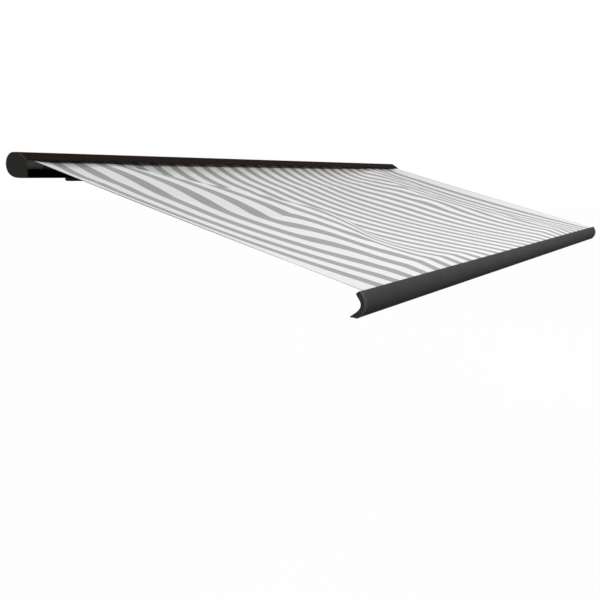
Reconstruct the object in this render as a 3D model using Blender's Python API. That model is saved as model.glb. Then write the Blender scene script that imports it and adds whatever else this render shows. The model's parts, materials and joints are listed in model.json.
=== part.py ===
# Full-cassette folding-arm awning, extended, for a flat wall.
# Metres. +Z is up, the wall is the plane Y = 0, and the awning reaches out along -Y.
# The origin is the middle of the middle wall bracket's back face.

import math

import bmesh
import bpy
from mathutils import Vector
from mathutils.geometry import tessellate_polygon

# Overall sizes
WIDTH = 5.25
PROJECTION = 2.50
PITCH = math.radians(15.0)
FIT = 0.0003

# Cassette section, measured back from its front plane and down from its top
WALL_GAP = 0.020
CASSETTE_DEPTH = 0.187
CASSETTE_HEIGHT = 0.157
CASSETTE_WALL = 0.003
LIP_DROP = 0.050
LIP_EDGE = 0.004
FASCIA_BACK = 0.074
FASCIA_ROUND = 0.008
REAR_RADIUS = 0.075
FLOOR_DROP = 0.1565
FLOOR_FRONT = 0.018
FLOOR_BACK = 0.065
SILL_DROP = 0.151
COVER_JOINT_ANGLE = 35.0
COVER_JOINT_GAP = 0.0007
END_CAP_THICKNESS = 0.010
END_CAP_EDGE = 0.003
BEARING_PLATE = 0.005
BEARING_PLATE_FRONT = 0.050

# Roller, its motor and the fabric left on it
ROLLER_BACK = 0.129
ROLLER_DROP = 0.0617
ROLLER_RADIUS = 0.039
ROLLER_WALL = 0.002
ROLLER_END_GAP = 0.022
TURNS_THICKNESS = 0.0018
FABRIC_EDGE_INSET = 0.060
FABRIC_THICKNESS = 0.0015
MOTOR_RADIUS = 0.025
MOTOR_HEAD_RADIUS = 0.029
MOTOR_LENGTH = 0.62
MOTOR_SHAFT_RADIUS = 0.008
CROWN_WIDTH = 0.020
IDLER_PIN_RADIUS = 0.010
IDLER_PIN_LENGTH = 0.060

# Front bar, a hollow crescent that is open towards the wall
BAR_FRONT_THICKNESS = 0.012
BAR_INNER_RADIUS = 0.0586
BAR_INNER_DROP = 0.0026
BAR_TOP_ANGLE = 121.0
BAR_BOTTOM_ANGLE = 270.0
BAR_OUTER_RADIUS = 0.082
BAR_TOP_BACK = 0.0116
BAR_TOP_RISE = 0.0595
BAR_FOOT_BACK = 0.0214
BAR_FOOT_DROP = 0.0676
BAR_WALL = 0.0022
BAR_UNDER_FABRIC = 0.0535
BAR_CAP_THICKNESS = 0.005
BAR_CAP_RECESS = 0.0012
BAR_STEPS = 14
GROOVE_MOUTH = 0.004
GROOVE_LIP = 0.0015
GROOVE_WIDTH = 0.008
GROOVE_DEPTH = 0.0082
KEDER_RADIUS = 0.0030

# Folding arms, in the sloping plane under the fabric
ARM_LENGTH = 1.46
ARM_CLOSED_ANGLE = math.radians(1.0)
SHOULDER_FROM_END = 0.600
CLOSED_REACH = 0.032
WRIST_BACK = 0.0425
WRIST_RAISE = 0.0080
UPPER_ARM_WIDTH = 0.028
UPPER_ARM_HEIGHT = 0.044
UPPER_ARM_SHIFT = -0.015
FOREARM_WIDTH = 0.024
FOREARM_HEIGHT = 0.040
FOREARM_SHIFT = 0.013
ARM_WALL = 0.0025
ARM_CORNER = 0.006
ARM_INNER_CORNER = 0.0005
ARM_SETBACK = 0.030
TONGUE_LENGTH = 0.034
SHOULDER_NECK = 0.026
FORK_NECK = 0.018
ELBOW_NECK = 0.021
WRIST_NECK = 0.020
PIN_RADIUS = 0.006
PIN_HEAD_RADIUS = 0.009
PIN_HEAD = 0.003
SHOULDER_EYE_RADIUS = 0.0165
ELBOW_EYE_RADIUS = 0.0150
ELBOW_FORK_RADIUS = 0.0175
ELBOW_SLOT = 0.024
WRIST_EYE_RADIUS = 0.0140
WRIST_EYE_HEIGHT = 0.0284
STRAP_THICKNESS = 0.0015
STRAP_WIDTH = 0.016
STRAP_RUN = 0.110
STRAP_WRAP = 90.0
SPRING_RADIUS = 0.0085
SPRING_PITCH = 0.030
SPRING_WAIST = 0.0070
SPRING_END_ROD = 0.003

# Shoulder bracket inside the cassette and its foot below the cassette
BRACKET_CHEEK = 0.007
BRACKET_BACK = 0.031
BRACKET_WEB = 0.0095
BRACKET_FRONT = 0.016
BRACKET_INNER_SIDE = 0.018
BRACKET_OUTER_SIDE = 0.060
BRACKET_POCKET_SIDE = 0.020
BRACKET_BASE_FRONT = 0.024
BRACKET_BASE_BACK = 0.062
FOOT_START = 0.340
FOOT_END = 0.660
FOOT_FRONT = 0.021
FOOT_BACK = 0.062
FOOT_DEPTH = 0.0195
FOOT_CORNER = 0.015
FOOT_BOLT_RADIUS = 0.004
FOOT_BOLT_HEAD = 0.007
FOOT_BOLT_INSET = 0.015
FOOT_BOLT_DEPTH = 0.012

# Wrist bracket inside the front bar
WRIST_BRACKET_WIDTH = 0.052
WRIST_BRACKET_HEIGHT = 0.042
WRIST_BRACKET_BACK = 0.014
WRIST_POCKET_FRONT = 0.0245

# Wall brackets
BRACKET_PLATE_WIDTH = 0.130
BRACKET_PLATE = 0.006
BRACKET_PLATE_TOP = 0.066
BRACKET_PLATE_BOTTOM = -0.070
CRADLE_WIDTH = 0.060
CRADLE_TOP_ANGLE = 50.0
CRADLE_TOE_BACK = 0.112
WALL_BRACKET_INSET = 0.900
WALL_BOLT_SPREAD = 0.047
WALL_BOLT_RISE = 0.030
WALL_BOLT_RADIUS = 0.005
WALL_BOLT_HEAD_RADIUS = 0.009
WALL_BOLT_HEAD = 0.006

# Form of the fabric: how far it hangs, and the ridge where it lies over each arm
SAG = 0.108
SAG_SKEW = 0.85
RIDGE_PAST_SHOULDER = 0.08
RIDGE_PAST_ELBOW = 0.045
RIDGE_PAST_WRIST = 0.44
RIDGE_BEFORE_ELBOW = 0.15
RIDGE_SHARE = 0.16
VALLEY_SHARE = 0.44
VALLEY_SKEW = 0.6
DROP_WIDTH = 0.46
ARM_CLEARANCE = 0.0010
ARM_SPREAD = 0.100
ARM_FALL = 0.9
ARM_SOFTNESS = 0.0025
CLOTH_COLUMNS = 54
CLOTH_ROWS = 22

# Places that follow from the sizes above
COS = math.cos(PITCH)
SIN = math.sin(PITCH)
OUT = Vector((0.0, -COS, -SIN))
UP = Vector((0.0, -SIN, COS))
FRONT_Y = -(WALL_GAP + CASSETTE_DEPTH)
TOP_Z = CASSETTE_HEIGHT / 2
ROLLER_CENTRE = Vector((0.0, FRONT_Y + ROLLER_BACK, TOP_Z - ROLLER_DROP))
TURNS_RADIUS = ROLLER_RADIUS + FIT + TURNS_THICKNESS
FABRIC_START = ROLLER_CENTRE + UP * (TURNS_RADIUS + FIT + FABRIC_THICKNESS)
BAR_Y = -(PROJECTION - BAR_FRONT_THICKNESS)
BAR_DEEPEST = Vector(
    (
        0.0,
        BAR_Y,
        FABRIC_START.z + ((BAR_Y - FABRIC_START.y) * SIN - BAR_UNDER_FABRIC) / COS,
    )
)
TRAVEL = (-BAR_Y + FRONT_Y - CLOSED_REACH) / COS
ARM_OPEN_ANGLE = math.asin(math.sin(ARM_CLOSED_ANGLE) + TRAVEL / (2 * ARM_LENGTH))
WRIST = BAR_DEEPEST - OUT * WRIST_BACK + UP * WRIST_RAISE
SHOULDER = WRIST - OUT * (2 * ARM_LENGTH * math.sin(ARM_OPEN_ANGLE))
SHOULDER_X = WIDTH / 2 - SHOULDER_FROM_END
ELBOW_X = SHOULDER_X - ARM_LENGTH * math.cos(ARM_OPEN_ANGLE)
INNER_END = WIDTH / 2 - END_CAP_THICKNESS - FIT
ROLLER_END = INNER_END - BEARING_PLATE - ROLLER_END_GAP
FABRIC_HALF = WIDTH / 2 - FABRIC_EDGE_INSET
EYE_HEIGHT = UPPER_ARM_HEIGHT - 2 * ARM_WALL - 2 * FIT
ELBOW_TOP = EYE_HEIGHT / 2 + FIT + PIN_HEAD
FABRIC_LENGTH = (BAR_DEEPEST - FABRIC_START).dot(OUT)
SHOULDER_OUT = (SHOULDER - FABRIC_START).dot(OUT)
ELBOW_OUT = SHOULDER_OUT + ARM_LENGTH * math.sin(ARM_OPEN_ANGLE)
WRIST_OUT = SHOULDER_OUT + 2 * ARM_LENGTH * math.sin(ARM_OPEN_ANGLE)
FORK_HALF = UPPER_ARM_HEIGHT / 2 - ARM_WALL + BRACKET_CHEEK


def clear_scene():
    for item in list(bpy.data.objects):
        bpy.data.objects.remove(item, do_unlink=True)


def make_material(name, colour, roughness, metallic):
    material = bpy.data.materials.new(name)
    material.use_nodes = True
    shader = material.node_tree.nodes["Principled BSDF"]
    shader.inputs["Base Color"].default_value = (*colour, 1.0)
    shader.inputs["Roughness"].default_value = roughness
    shader.inputs["Metallic"].default_value = metallic
    return material


# Outlines in a section plane

def arc(centre, radius, start, end, steps):
    points = []
    for i in range(steps + 1):
        angle = math.radians(start + (end - start) * i / steps)
        points.append((centre[0] + radius * math.cos(angle), centre[1] + radius * math.sin(angle)))
    return points


def circle(centre, radius, steps):
    return arc(centre, radius, 0.0, 360.0, steps)[:-1]


def bezier(start, pull_a, pull_b, end, steps):
    points = []
    for i in range(steps + 1):
        t = i / steps
        s = 1 - t
        weights = (s ** 3, 3 * s * s * t, 3 * s * t * t, t ** 3)
        corners = (start, pull_a, pull_b, end)
        points.append(tuple(sum(w * c[k] for w, c in zip(weights, corners)) for k in (0, 1)))
    return points


def rounded_rectangle(centre, width, height, radius, steps=3):
    points = []
    for sx, sy, start in ((1, 1, 0), (-1, 1, 90), (-1, -1, 180), (1, -1, 270)):
        corner = (
            centre[0] + sx * (width / 2 - radius),
            centre[1] + sy * (height / 2 - radius),
        )
        points += arc(corner, radius, start, start + 90, steps)
    return points


def rectangle(left, right, low, high):
    return [(left, low), (right, low), (right, high), (left, high)]


def offset_path(points, distance):
    """Points moved sideways by a distance, to the right of the way that the path runs."""
    moved = []
    last = len(points) - 1
    for i, point in enumerate(points):
        before = Vector(points[max(i - 1, 0)])
        after = Vector(points[min(i + 1, last)])
        here = Vector(point)
        sides = []
        for a, b in ((before, here), (here, after)):
            if (b - a).length > 1e-9:
                way = (b - a).normalized()
                sides.append(Vector((way.y, -way.x)))
        side = sum(sides, Vector((0.0, 0.0))).normalized()
        stretch = 1.0 / max(side.dot(sides[0]), 0.5)
        moved.append(tuple(here + side * distance * stretch))
    return moved


def strip(points, thickness):
    return points + offset_path(points, thickness)[::-1]


# Solids from outlines

def finish(name, bm, material, parent=None, smooth=False):
    bmesh.ops.remove_doubles(bm, verts=bm.verts, dist=1e-7)
    bmesh.ops.recalc_face_normals(bm, faces=bm.faces)
    mesh = bpy.data.meshes.new(name)
    bm.to_mesh(mesh)
    bm.free()
    item = bpy.data.objects.new(name, mesh)
    bpy.context.collection.objects.link(item)
    if material is not None:
        mesh.materials.append(material)
    if smooth:
        mesh.shade_smooth()
        mesh.set_sharp_from_angle(angle=math.radians(35))
    if parent is not None:
        item.parent = parent
    return item


def prism(name, outline, low, high, place, material, parent=None, hole=None, floor=None, smooth=False):
    """An outline swept from low to high. A hole runs right through, or down to a floor."""
    bm = bmesh.new()
    loops = [outline] + ([hole] if hole else [])
    rows = []
    for level in (low, high):
        rows.append([[bm.verts.new(place(p, q, level)) for p, q in loop] for loop in loops])
    flat = [[Vector((p, q, 0.0)) for p, q in loop] for loop in loops]
    blind = hole is not None and floor is not None
    for row in rows:
        if blind and row is rows[0]:
            loops_here = flat[:1]
        else:
            loops_here = flat
        corners = [v for loop in row[: len(loops_here)] for v in loop]
        for triangle in tessellate_polygon(loops_here):
            bm.faces.new([corners[i] for i in triangle])
    for k, loop in enumerate(loops):
        low_row, high_row = rows[0][k], rows[1][k]
        if blind and k == 1:
            for v, (p, q) in zip(low_row, loop):
                v.co = place(p, q, floor)
            for triangle in tessellate_polygon([flat[1]]):
                bm.faces.new([low_row[i] for i in triangle])
        for i in range(len(loop)):
            j = (i + 1) % len(loop)
            bm.faces.new([low_row[i], low_row[j], high_row[j], high_row[i]])
    return finish(name, bm, material, parent, smooth)


def lathe(name, profile, steps, place, material, parent=None):
    """A turned solid. The profile is a list of (position, radius) along its axis."""
    bm = bmesh.new()
    rings = []
    for position, radius in profile:
        rings.append([bm.verts.new(place(p, q, position)) for p, q in circle((0.0, 0.0), radius, steps)])
    for ring in (rings[0], rings[-1]):
        bm.faces.new(ring)
    for a, b in zip(rings, rings[1:]):
        for i in range(steps):
            j = (i + 1) % steps
            bm.faces.new([a[i], a[j], b[j], b[i]])
    return finish(name, bm, material, parent, smooth=True)


def helper(name, outline, low, high, place, parent=None):
    item = prism(name, outline, low, high, place, None, parent)
    item.hide_render = True
    item.display_type = "WIRE"
    return item


def boolean(item, other, operation):
    modifier = item.modifiers.new(operation.lower(), "BOOLEAN")
    modifier.operation = operation
    modifier.object = other


def joint_empty(name, world, parent=None, parent_world=None):
    empty = bpy.data.objects.new(name, None)
    empty.empty_display_size = 0.05
    bpy.context.collection.objects.link(empty)
    empty.location = world
    if parent is not None:
        empty.parent = parent
        empty.location = world - parent_world
    return empty


# Ways to place a section in the world

def along_x(p, q, level):
    """A (Y, Z) section swept along X."""
    return Vector((level, p, q))


def section(back, drop):
    """A point of the cassette's section, from its front plane and its top."""
    return (FRONT_Y + back, TOP_Z - drop)


class ArmFrame:
    """One straight link of an arm: along it, sideways, and up off the slope."""

    def __init__(self, side, angle):
        self.along = Vector((-side * math.cos(angle), 0, 0)) + OUT * math.sin(angle)
        self.across = Vector((side * math.sin(angle), 0, 0)) + OUT * math.cos(angle)

    def plan(self, a, n, level):
        """An (along, sideways) outline swept up off the slope."""
        return self.along * a + self.across * n + UP * level

    def profile(self, n, level, a):
        """A (sideways, up) section swept along the link."""
        return self.along * a + self.across * n + UP * level


# Cassette

def rear_centre():
    return section(CASSETTE_DEPTH - REAR_RADIUS, REAR_RADIUS)


def cover_path():
    lip = section(0.0, LIP_DROP)
    lip_top = section(0.0, LIP_DROP - LIP_EDGE)
    slope_end = section(FASCIA_BACK - FASCIA_ROUND, FASCIA_ROUND * 0.45)
    top_start = section(FASCIA_BACK, 0.0)
    rear = arc(rear_centre(), REAR_RADIUS, 90.0, COVER_JOINT_ANGLE, 8)
    return [lip, lip_top, slope_end, top_start] + rear


def shell_path():
    joint = COVER_JOINT_ANGLE - math.degrees(COVER_JOINT_GAP / REAR_RADIUS)
    rear = arc(rear_centre(), REAR_RADIUS, joint, 0.0, 5)
    back = section(CASSETTE_DEPTH, REAR_RADIUS)
    pull_a = section(CASSETTE_DEPTH, 0.125)
    pull_b = section(0.145, FLOOR_DROP)
    under = bezier(back, pull_a, pull_b, section(FLOOR_BACK, FLOOR_DROP), 9)
    front = [section(FLOOR_FRONT, FLOOR_DROP), section(0.004, SILL_DROP + 0.0025), section(0.0, SILL_DROP)]
    return rear[:-1] + under + front


def make_cassette(paint, plastic, steel):
    prism("cassette_top_cover", strip(cover_path(), CASSETTE_WALL), -INNER_END, INNER_END, along_x, paint)
    shell = prism(
        "cassette_back_shell", strip(shell_path(), CASSETTE_WALL), -INNER_END, INNER_END, along_x, paint
    )
    cap_outline = cover_path() + shell_path()[1:]
    inner = offset_path(cover_path()[3:] + shell_path()[1:-3], CASSETTE_WALL + FIT)
    plate_outline = [p for p in inner if p[0] > FRONT_Y + BEARING_PLATE_FRONT]
    for side, word in ((-1, "left"), (1, "right")):
        outer = side * WIDTH / 2
        cap = prism(
            "end_cap_" + word, cap_outline, side * (INNER_END + FIT), outer, along_x, plastic
        )
        edge = cap.modifiers.new("rounded_edge", "BEVEL")
        edge.width = END_CAP_EDGE
        edge.segments = 2
        edge.limit_method = "ANGLE"
        edge.angle_limit = math.radians(60)
        plate = prism(
            "bearing_plate_" + word,
            plate_outline,
            side * (INNER_END - BEARING_PLATE),
            side * INNER_END,
            along_x,
            steel,
        )
        plate.location.x = 0.0
    return shell


def make_roller(alloy, fabric, steel, plastic, casing):
    axis = joint_empty("roller_axis", ROLLER_CENTRE)

    def about_axis(p, q, level):
        return Vector((level, p, q))

    prism(
        "roller_tube",
        circle((0, 0), ROLLER_RADIUS, 32),
        -ROLLER_END,
        ROLLER_END,
        about_axis,
        alloy,
        axis,
        hole=circle((0, 0), ROLLER_RADIUS - ROLLER_WALL, 32),
        smooth=True,
    )
    prism(
        "fabric_turns",
        circle((0, 0), TURNS_RADIUS, 32),
        -FABRIC_HALF,
        FABRIC_HALF,
        about_axis,
        fabric,
        axis,
        hole=circle((0, 0), ROLLER_RADIUS + FIT, 32),
        smooth=True,
    )
    bore = ROLLER_RADIUS - ROLLER_WALL - FIT
    head_start = -(INNER_END - BEARING_PLATE - FIT)
    tube_start = -(ROLLER_END + FIT)
    motor_end = tube_start + MOTOR_LENGTH
    shaft_end = motor_end + CROWN_WIDTH
    lathe(
        "tubular_motor",
        [
            (head_start, MOTOR_HEAD_RADIUS),
            (tube_start, MOTOR_HEAD_RADIUS),
            (tube_start, MOTOR_RADIUS),
            (motor_end, MOTOR_RADIUS),
            (motor_end, MOTOR_SHAFT_RADIUS),
            (shaft_end, MOTOR_SHAFT_RADIUS),
        ],
        24,
        lambda p, q, level: ROLLER_CENTRE + Vector((level, p, q)),
        casing,
    )
    prism(
        "motor_crown",
        circle((0, 0), bore, 24),
        -ROLLER_END,
        -ROLLER_END + CROWN_WIDTH,
        about_axis,
        plastic,
        axis,
        hole=circle((0, 0), MOTOR_RADIUS + FIT, 24),
    )
    prism(
        "drive_wheel",
        circle((0, 0), bore, 24),
        motor_end + FIT,
        motor_end + CROWN_WIDTH,
        about_axis,
        plastic,
        axis,
        hole=circle((0, 0), MOTOR_SHAFT_RADIUS + FIT, 24),
    )
    prism(
        "idler_plug",
        circle((0, 0), bore, 24),
        ROLLER_END - IDLER_PIN_LENGTH,
        ROLLER_END,
        about_axis,
        plastic,
        axis,
        hole=circle((0, 0), IDLER_PIN_RADIUS + FIT, 24),
    )
    pin_end = INNER_END - BEARING_PLATE - FIT
    lathe(
        "idler_pin",
        [(ROLLER_END - IDLER_PIN_LENGTH * 0.8, IDLER_PIN_RADIUS), (pin_end, IDLER_PIN_RADIUS)],
        24,
        lambda p, q, level: ROLLER_CENTRE + Vector((level, p, q)),
        steel,
    )


# Wall brackets

def make_wall_brackets(steel, bolt_steel):
    lower = [p for p in shell_path() if p[0] > FRONT_Y + CRADLE_TOE_BACK]
    upper = arc(rear_centre(), REAR_RADIUS, CRADLE_TOP_ANGLE, COVER_JOINT_ANGLE, 4)[:-1]
    seat = offset_path(upper + lower, -FIT)
    toe = (seat[-1][0] + 0.004, seat[-1][1] - 0.006)
    heel = (-BRACKET_PLATE - 0.012, BRACKET_PLATE_BOTTOM)
    outline = (
        seat
        + [toe, heel, (-BRACKET_PLATE, BRACKET_PLATE_BOTTOM), (0.0, BRACKET_PLATE_BOTTOM)]
        + [(0.0, BRACKET_PLATE_TOP), (-BRACKET_PLATE, BRACKET_PLATE_TOP)]
    )
    plate = rectangle(-BRACKET_PLATE, 0.0, BRACKET_PLATE_BOTTOM, BRACKET_PLATE_TOP)
    places = {"left": -1, "middle": 0, "right": 1}
    for word, side in places.items():
        x = side * (WIDTH / 2 - WALL_BRACKET_INSET)
        bracket = prism(
            "wall_bracket_" + word, outline, x - CRADLE_WIDTH / 2, x + CRADLE_WIDTH / 2, along_x, steel
        )
        wide = helper(
            "plate_" + word, plate, x - BRACKET_PLATE_WIDTH / 2, x + BRACKET_PLATE_WIDTH / 2, along_x
        )
        boolean(bracket, wide, "UNION")
        for hand, sign in (("a", -1), ("b", 1)):
            centre = (x + sign * WALL_BOLT_SPREAD, WALL_BOLT_RISE * sign)

            def across_plate(p, q, level, centre=centre):
                return Vector((centre[0] + p, level, centre[1] + q))

            bore = helper(
                "bolt_bore_" + word + hand,
                circle((0, 0), WALL_BOLT_RADIUS + FIT, 16),
                -BRACKET_PLATE - 0.01,
                0.01,
                across_plate,
            )
            boolean(bracket, bore, "DIFFERENCE")
            seat_y = -BRACKET_PLATE - FIT
            lathe(
                "wall_bolt_" + word + "_" + hand,
                [
                    (seat_y - WALL_BOLT_HEAD, WALL_BOLT_HEAD_RADIUS),
                    (seat_y, WALL_BOLT_HEAD_RADIUS),
                    (seat_y, WALL_BOLT_RADIUS),
                    (-FIT, WALL_BOLT_RADIUS),
                ],
                12,
                across_plate,
                bolt_steel,
            )


# Front bar

def bar_chains(inset=0.0):
    """The front face from the top edge down, and the hollow back from the foot up."""
    front_chord = Vector((BAR_FOOT_BACK - BAR_TOP_BACK, -BAR_FOOT_DROP - BAR_TOP_RISE))
    middle = Vector((BAR_TOP_BACK, BAR_TOP_RISE)) + front_chord / 2
    half = front_chord.length / 2
    reach = math.sqrt(BAR_OUTER_RADIUS ** 2 - half ** 2)
    normal = Vector((-front_chord.y, front_chord.x)).normalized()
    centre = middle + normal * reach
    radius = BAR_OUTER_RADIUS - inset
    top = Vector((BAR_TOP_BACK, BAR_TOP_RISE)) - centre
    foot = Vector((BAR_FOOT_BACK, -BAR_FOOT_DROP)) - centre
    start = math.degrees(math.atan2(top.y, top.x)) + math.degrees(inset / radius)
    end = math.degrees(math.atan2(foot.y, foot.x)) + 360.0
    front = arc(centre, radius, start, end, BAR_STEPS)
    inner_centre = (BAR_INNER_RADIUS, -BAR_INNER_DROP)
    inner_radius = BAR_INNER_RADIUS + inset
    tail = math.degrees(6 * inset / inner_radius)
    nose = math.degrees(2 * inset / inner_radius)
    back = arc(inner_centre, inner_radius, BAR_BOTTOM_ANGLE - tail, BAR_TOP_ANGLE + nose, BAR_STEPS)
    return front, back


def groove_outline(edge_start, edge_end):
    """A T groove for the fabric's keder, cut into the slanting top face of the bar."""
    start = Vector(edge_start)
    way = (Vector(edge_end) - start).normalized()
    inward = Vector((-way.y, way.x))
    middle = (start + Vector(edge_end)) / 2
    half_mouth = GROOVE_MOUTH / 2
    half = GROOVE_WIDTH / 2
    corners = (
        (-half_mouth, 0.0),
        (-half_mouth, GROOVE_LIP),
        (-half, GROOVE_LIP),
        (-half, GROOVE_DEPTH),
        (half, GROOVE_DEPTH),
        (half, GROOVE_LIP),
        (half_mouth, GROOVE_LIP),
        (half_mouth, 0.0),
    )
    return [tuple(middle + way * a + inward * b) for a, b in corners], middle, way, inward


def bar_section(point):
    return (BAR_DEEPEST.y + point[0], BAR_DEEPEST.z + point[1])


def bar_outline(with_groove):
    front, back = bar_chains()
    points = front + back
    if with_groove:
        points = points + groove_outline(back[-1], front[0])[0]
    return [bar_section(p) for p in points]


def bar_hollow(inset, top_trim):
    front, back = bar_chains(inset)
    return [bar_section(p) for p in front[top_trim:-1] + back[1:len(back) - top_trim]]


def groove_place():
    front, back = bar_chains()
    middle, way, inward = groove_outline(back[-1], front[0])[1:]
    return middle, way, inward


def make_front_bar(paint, plastic, piping, body):
    half = WIDTH / 2 - BAR_CAP_THICKNESS
    local = lambda p, q, level: Vector((level, p, q)) - WRIST_LEFT_WORLD
    prism(
        "front_bar",
        bar_outline(True),
        -half + FIT,
        half - FIT,
        local,
        paint,
        body,
        hole=bar_hollow(BAR_WALL, 2),
    )
    for side, word in ((-1, "left"), (1, "right")):
        prism(
            "front_bar_cap_" + word,
            bar_outline(False),
            side * half,
            side * WIDTH / 2,
            local,
            plastic,
            body,
            hole=bar_hollow(BAR_WALL, 1),
            floor=side * (WIDTH / 2 - BAR_CAP_RECESS),
        )
    middle, way, inward = groove_place()
    seat = middle + inward * (GROOVE_LIP + FIT + KEDER_RADIUS)
    prism(
        "fabric_keder",
        circle(bar_section(seat), KEDER_RADIUS, 12),
        -FABRIC_HALF,
        FABRIC_HALF,
        local,
        piping,
        body,
    )


# Folding arms

def arm_tube(name, width, height, shift, start, end, frame, material, parent):
    outer = rounded_rectangle((shift, 0.0), width, height, ARM_CORNER)
    inner = rounded_rectangle(
        (shift, 0.0), width - 2 * ARM_WALL, height - 2 * ARM_WALL, ARM_INNER_CORNER, 1
    )
    return prism(name, outer, start, end, frame.profile, material, parent, hole=inner)


def eye_outline(radius, width, shift, neck, end):
    """A round eye about the pin, drawn into a tongue that fills the arm's tube."""
    side_low = shift - width / 2
    side_high = shift + width / 2
    if shift < 0:
        round_part = arc((0, 0), radius, 30.0, 300.0, 18)
        return round_part + [(neck, side_low), (end, side_low), (end, side_high), (neck, side_high)]
    round_part = arc((0, 0), radius, 60.0, 330.0, 18)
    return round_part + [(neck, side_low), (end, side_low), (end, side_high), (neck, side_high)]


def pin(name, low, high, low_head, material, parent):
    profile = []
    if low_head:
        profile += [(low - PIN_HEAD, PIN_HEAD_RADIUS), (low, PIN_HEAD_RADIUS)]
    profile += [(low, PIN_RADIUS), (high, PIN_RADIUS)]
    profile += [(high, PIN_HEAD_RADIUS), (high + PIN_HEAD, PIN_HEAD_RADIUS)]

    def stand(p, q, level):
        return Vector((p, 0, 0)) + OUT * q + UP * level

    return lathe(name, profile, 20, stand, material, parent)


def make_arm(side, word, paint, cast, steel, spring_steel, webbing):
    shoulder_world = SHOULDER + Vector((side * SHOULDER_X, 0, 0))
    upper = ArmFrame(side, ARM_OPEN_ANGLE)
    elbow_world = shoulder_world + upper.along * ARM_LENGTH
    shoulder_joint = joint_empty(word + "_shoulder_axis", shoulder_world)
    elbow_joint = joint_empty(word + "_elbow_axis", elbow_world, shoulder_joint, shoulder_world)

    # upper arm, with the spring and strap that push the awning open
    tube_end = ARM_LENGTH - ARM_SETBACK
    arm_tube(
        word + "_upper_arm", UPPER_ARM_WIDTH, UPPER_ARM_HEIGHT, UPPER_ARM_SHIFT,
        ARM_SETBACK, tube_end, upper, paint, shoulder_joint,
    )
    tongue = UPPER_ARM_WIDTH - 2 * ARM_WALL - 2 * FIT
    knuckle = prism(
        word + "_shoulder_knuckle",
        eye_outline(SHOULDER_EYE_RADIUS, tongue, UPPER_ARM_SHIFT, SHOULDER_NECK, ARM_SETBACK + TONGUE_LENGTH),
        -EYE_HEIGHT / 2, EYE_HEIGHT / 2, upper.plan, cast, shoulder_joint,
    )
    reach = UPPER_ARM_HEIGHT
    bore = helper(
        word + "_shoulder_bore", circle((0, 0), PIN_RADIUS + FIT, 20), -reach, reach, upper.plan, shoulder_joint
    )
    boolean(knuckle, bore, "DIFFERENCE")

    def at_elbow(a, n, level):
        return upper.plan(ARM_LENGTH - a, n, level)

    fork = prism(
        word + "_elbow_fork",
        eye_outline(ELBOW_FORK_RADIUS, tongue, UPPER_ARM_SHIFT, FORK_NECK, ARM_SETBACK + TONGUE_LENGTH),
        -EYE_HEIGHT / 2, EYE_HEIGHT / 2, at_elbow, cast, shoulder_joint,
    )
    slot = helper(
        word + "_elbow_slot", rectangle(-0.03, 0.0195, -0.04, 0.04),
        -ELBOW_SLOT / 2, ELBOW_SLOT / 2, at_elbow, shoulder_joint,
    )
    fork_bore = helper(
        word + "_elbow_bore", circle((0, 0), PIN_RADIUS + FIT, 20), -reach, reach, at_elbow, shoulder_joint
    )
    strap_line = -(ELBOW_EYE_RADIUS + FIT)
    strap_slot = helper(
        word + "_strap_slot",
        rectangle(0.0, 0.09, strap_line - STRAP_THICKNESS - FIT, strap_line + FIT),
        -STRAP_WIDTH / 2 - FIT, STRAP_WIDTH / 2 + FIT, at_elbow, shoulder_joint,
    )
    boolean(fork, slot, "DIFFERENCE")
    boolean(fork, strap_slot, "DIFFERENCE")
    boolean(fork, fork_bore, "DIFFERENCE")
    wrap = arc((0, 0), -strap_line, 270.0, 270.0 - STRAP_WRAP, 12)
    strap_path = [(STRAP_RUN, strap_line)] + wrap
    prism(
        word + "_elbow_strap", strip(strap_path, -STRAP_THICKNESS),
        -STRAP_WIDTH / 2, STRAP_WIDTH / 2, at_elbow, webbing, shoulder_joint,
    )
    spring_start = ARM_SETBACK + TONGUE_LENGTH + FIT
    spring_end = ARM_LENGTH - STRAP_RUN - FIT
    count = int((spring_end - spring_start - 0.08) / SPRING_PITCH)
    coil = [(spring_start, SPRING_END_ROD), (spring_start + 0.02, SPRING_END_ROD)]
    for i in range(count):
        place = spring_start + 0.03 + i * SPRING_PITCH
        coil += [(place, SPRING_RADIUS), (place + SPRING_PITCH / 2, SPRING_WAIST)]
    coil += [(spring_end - 0.02, SPRING_END_ROD), (spring_end, SPRING_END_ROD)]
    lathe(
        word + "_arm_spring", coil, 10,
        lambda p, q, level: upper.plan(level, UPPER_ARM_SHIFT + p, q), spring_steel, shoulder_joint,
    )
    pin(
        word + "_elbow_pin", -EYE_HEIGHT / 2 - FIT, EYE_HEIGHT / 2 + FIT, True, steel,
        joint_empty(word + "_elbow_pin_place", elbow_world, shoulder_joint, shoulder_world),
    )

    # forearm, from the elbow back to the front bar
    lower = ArmFrame(side, math.pi - ARM_OPEN_ANGLE)
    lower.across = -lower.across
    arm_tube(
        word + "_forearm", FOREARM_WIDTH, FOREARM_HEIGHT, FOREARM_SHIFT,
        ARM_SETBACK, ARM_LENGTH - ARM_SETBACK, lower, paint, elbow_joint,
    )
    narrow = FOREARM_WIDTH - 2 * ARM_WALL - 2 * FIT
    elbow_height = ELBOW_SLOT - 2 * FIT
    elbow_eye = prism(
        word + "_elbow_knuckle",
        eye_outline(ELBOW_EYE_RADIUS, narrow, FOREARM_SHIFT, ELBOW_NECK, ARM_SETBACK + TONGUE_LENGTH),
        -elbow_height / 2, elbow_height / 2, lower.plan, cast, elbow_joint,
    )
    elbow_bore = helper(
        word + "_knuckle_bore", circle((0, 0), PIN_RADIUS + FIT, 20), -reach, reach, lower.plan, elbow_joint
    )
    boolean(elbow_eye, elbow_bore, "DIFFERENCE")

    def at_wrist(a, n, level):
        return lower.plan(ARM_LENGTH - a, n, level)

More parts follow.
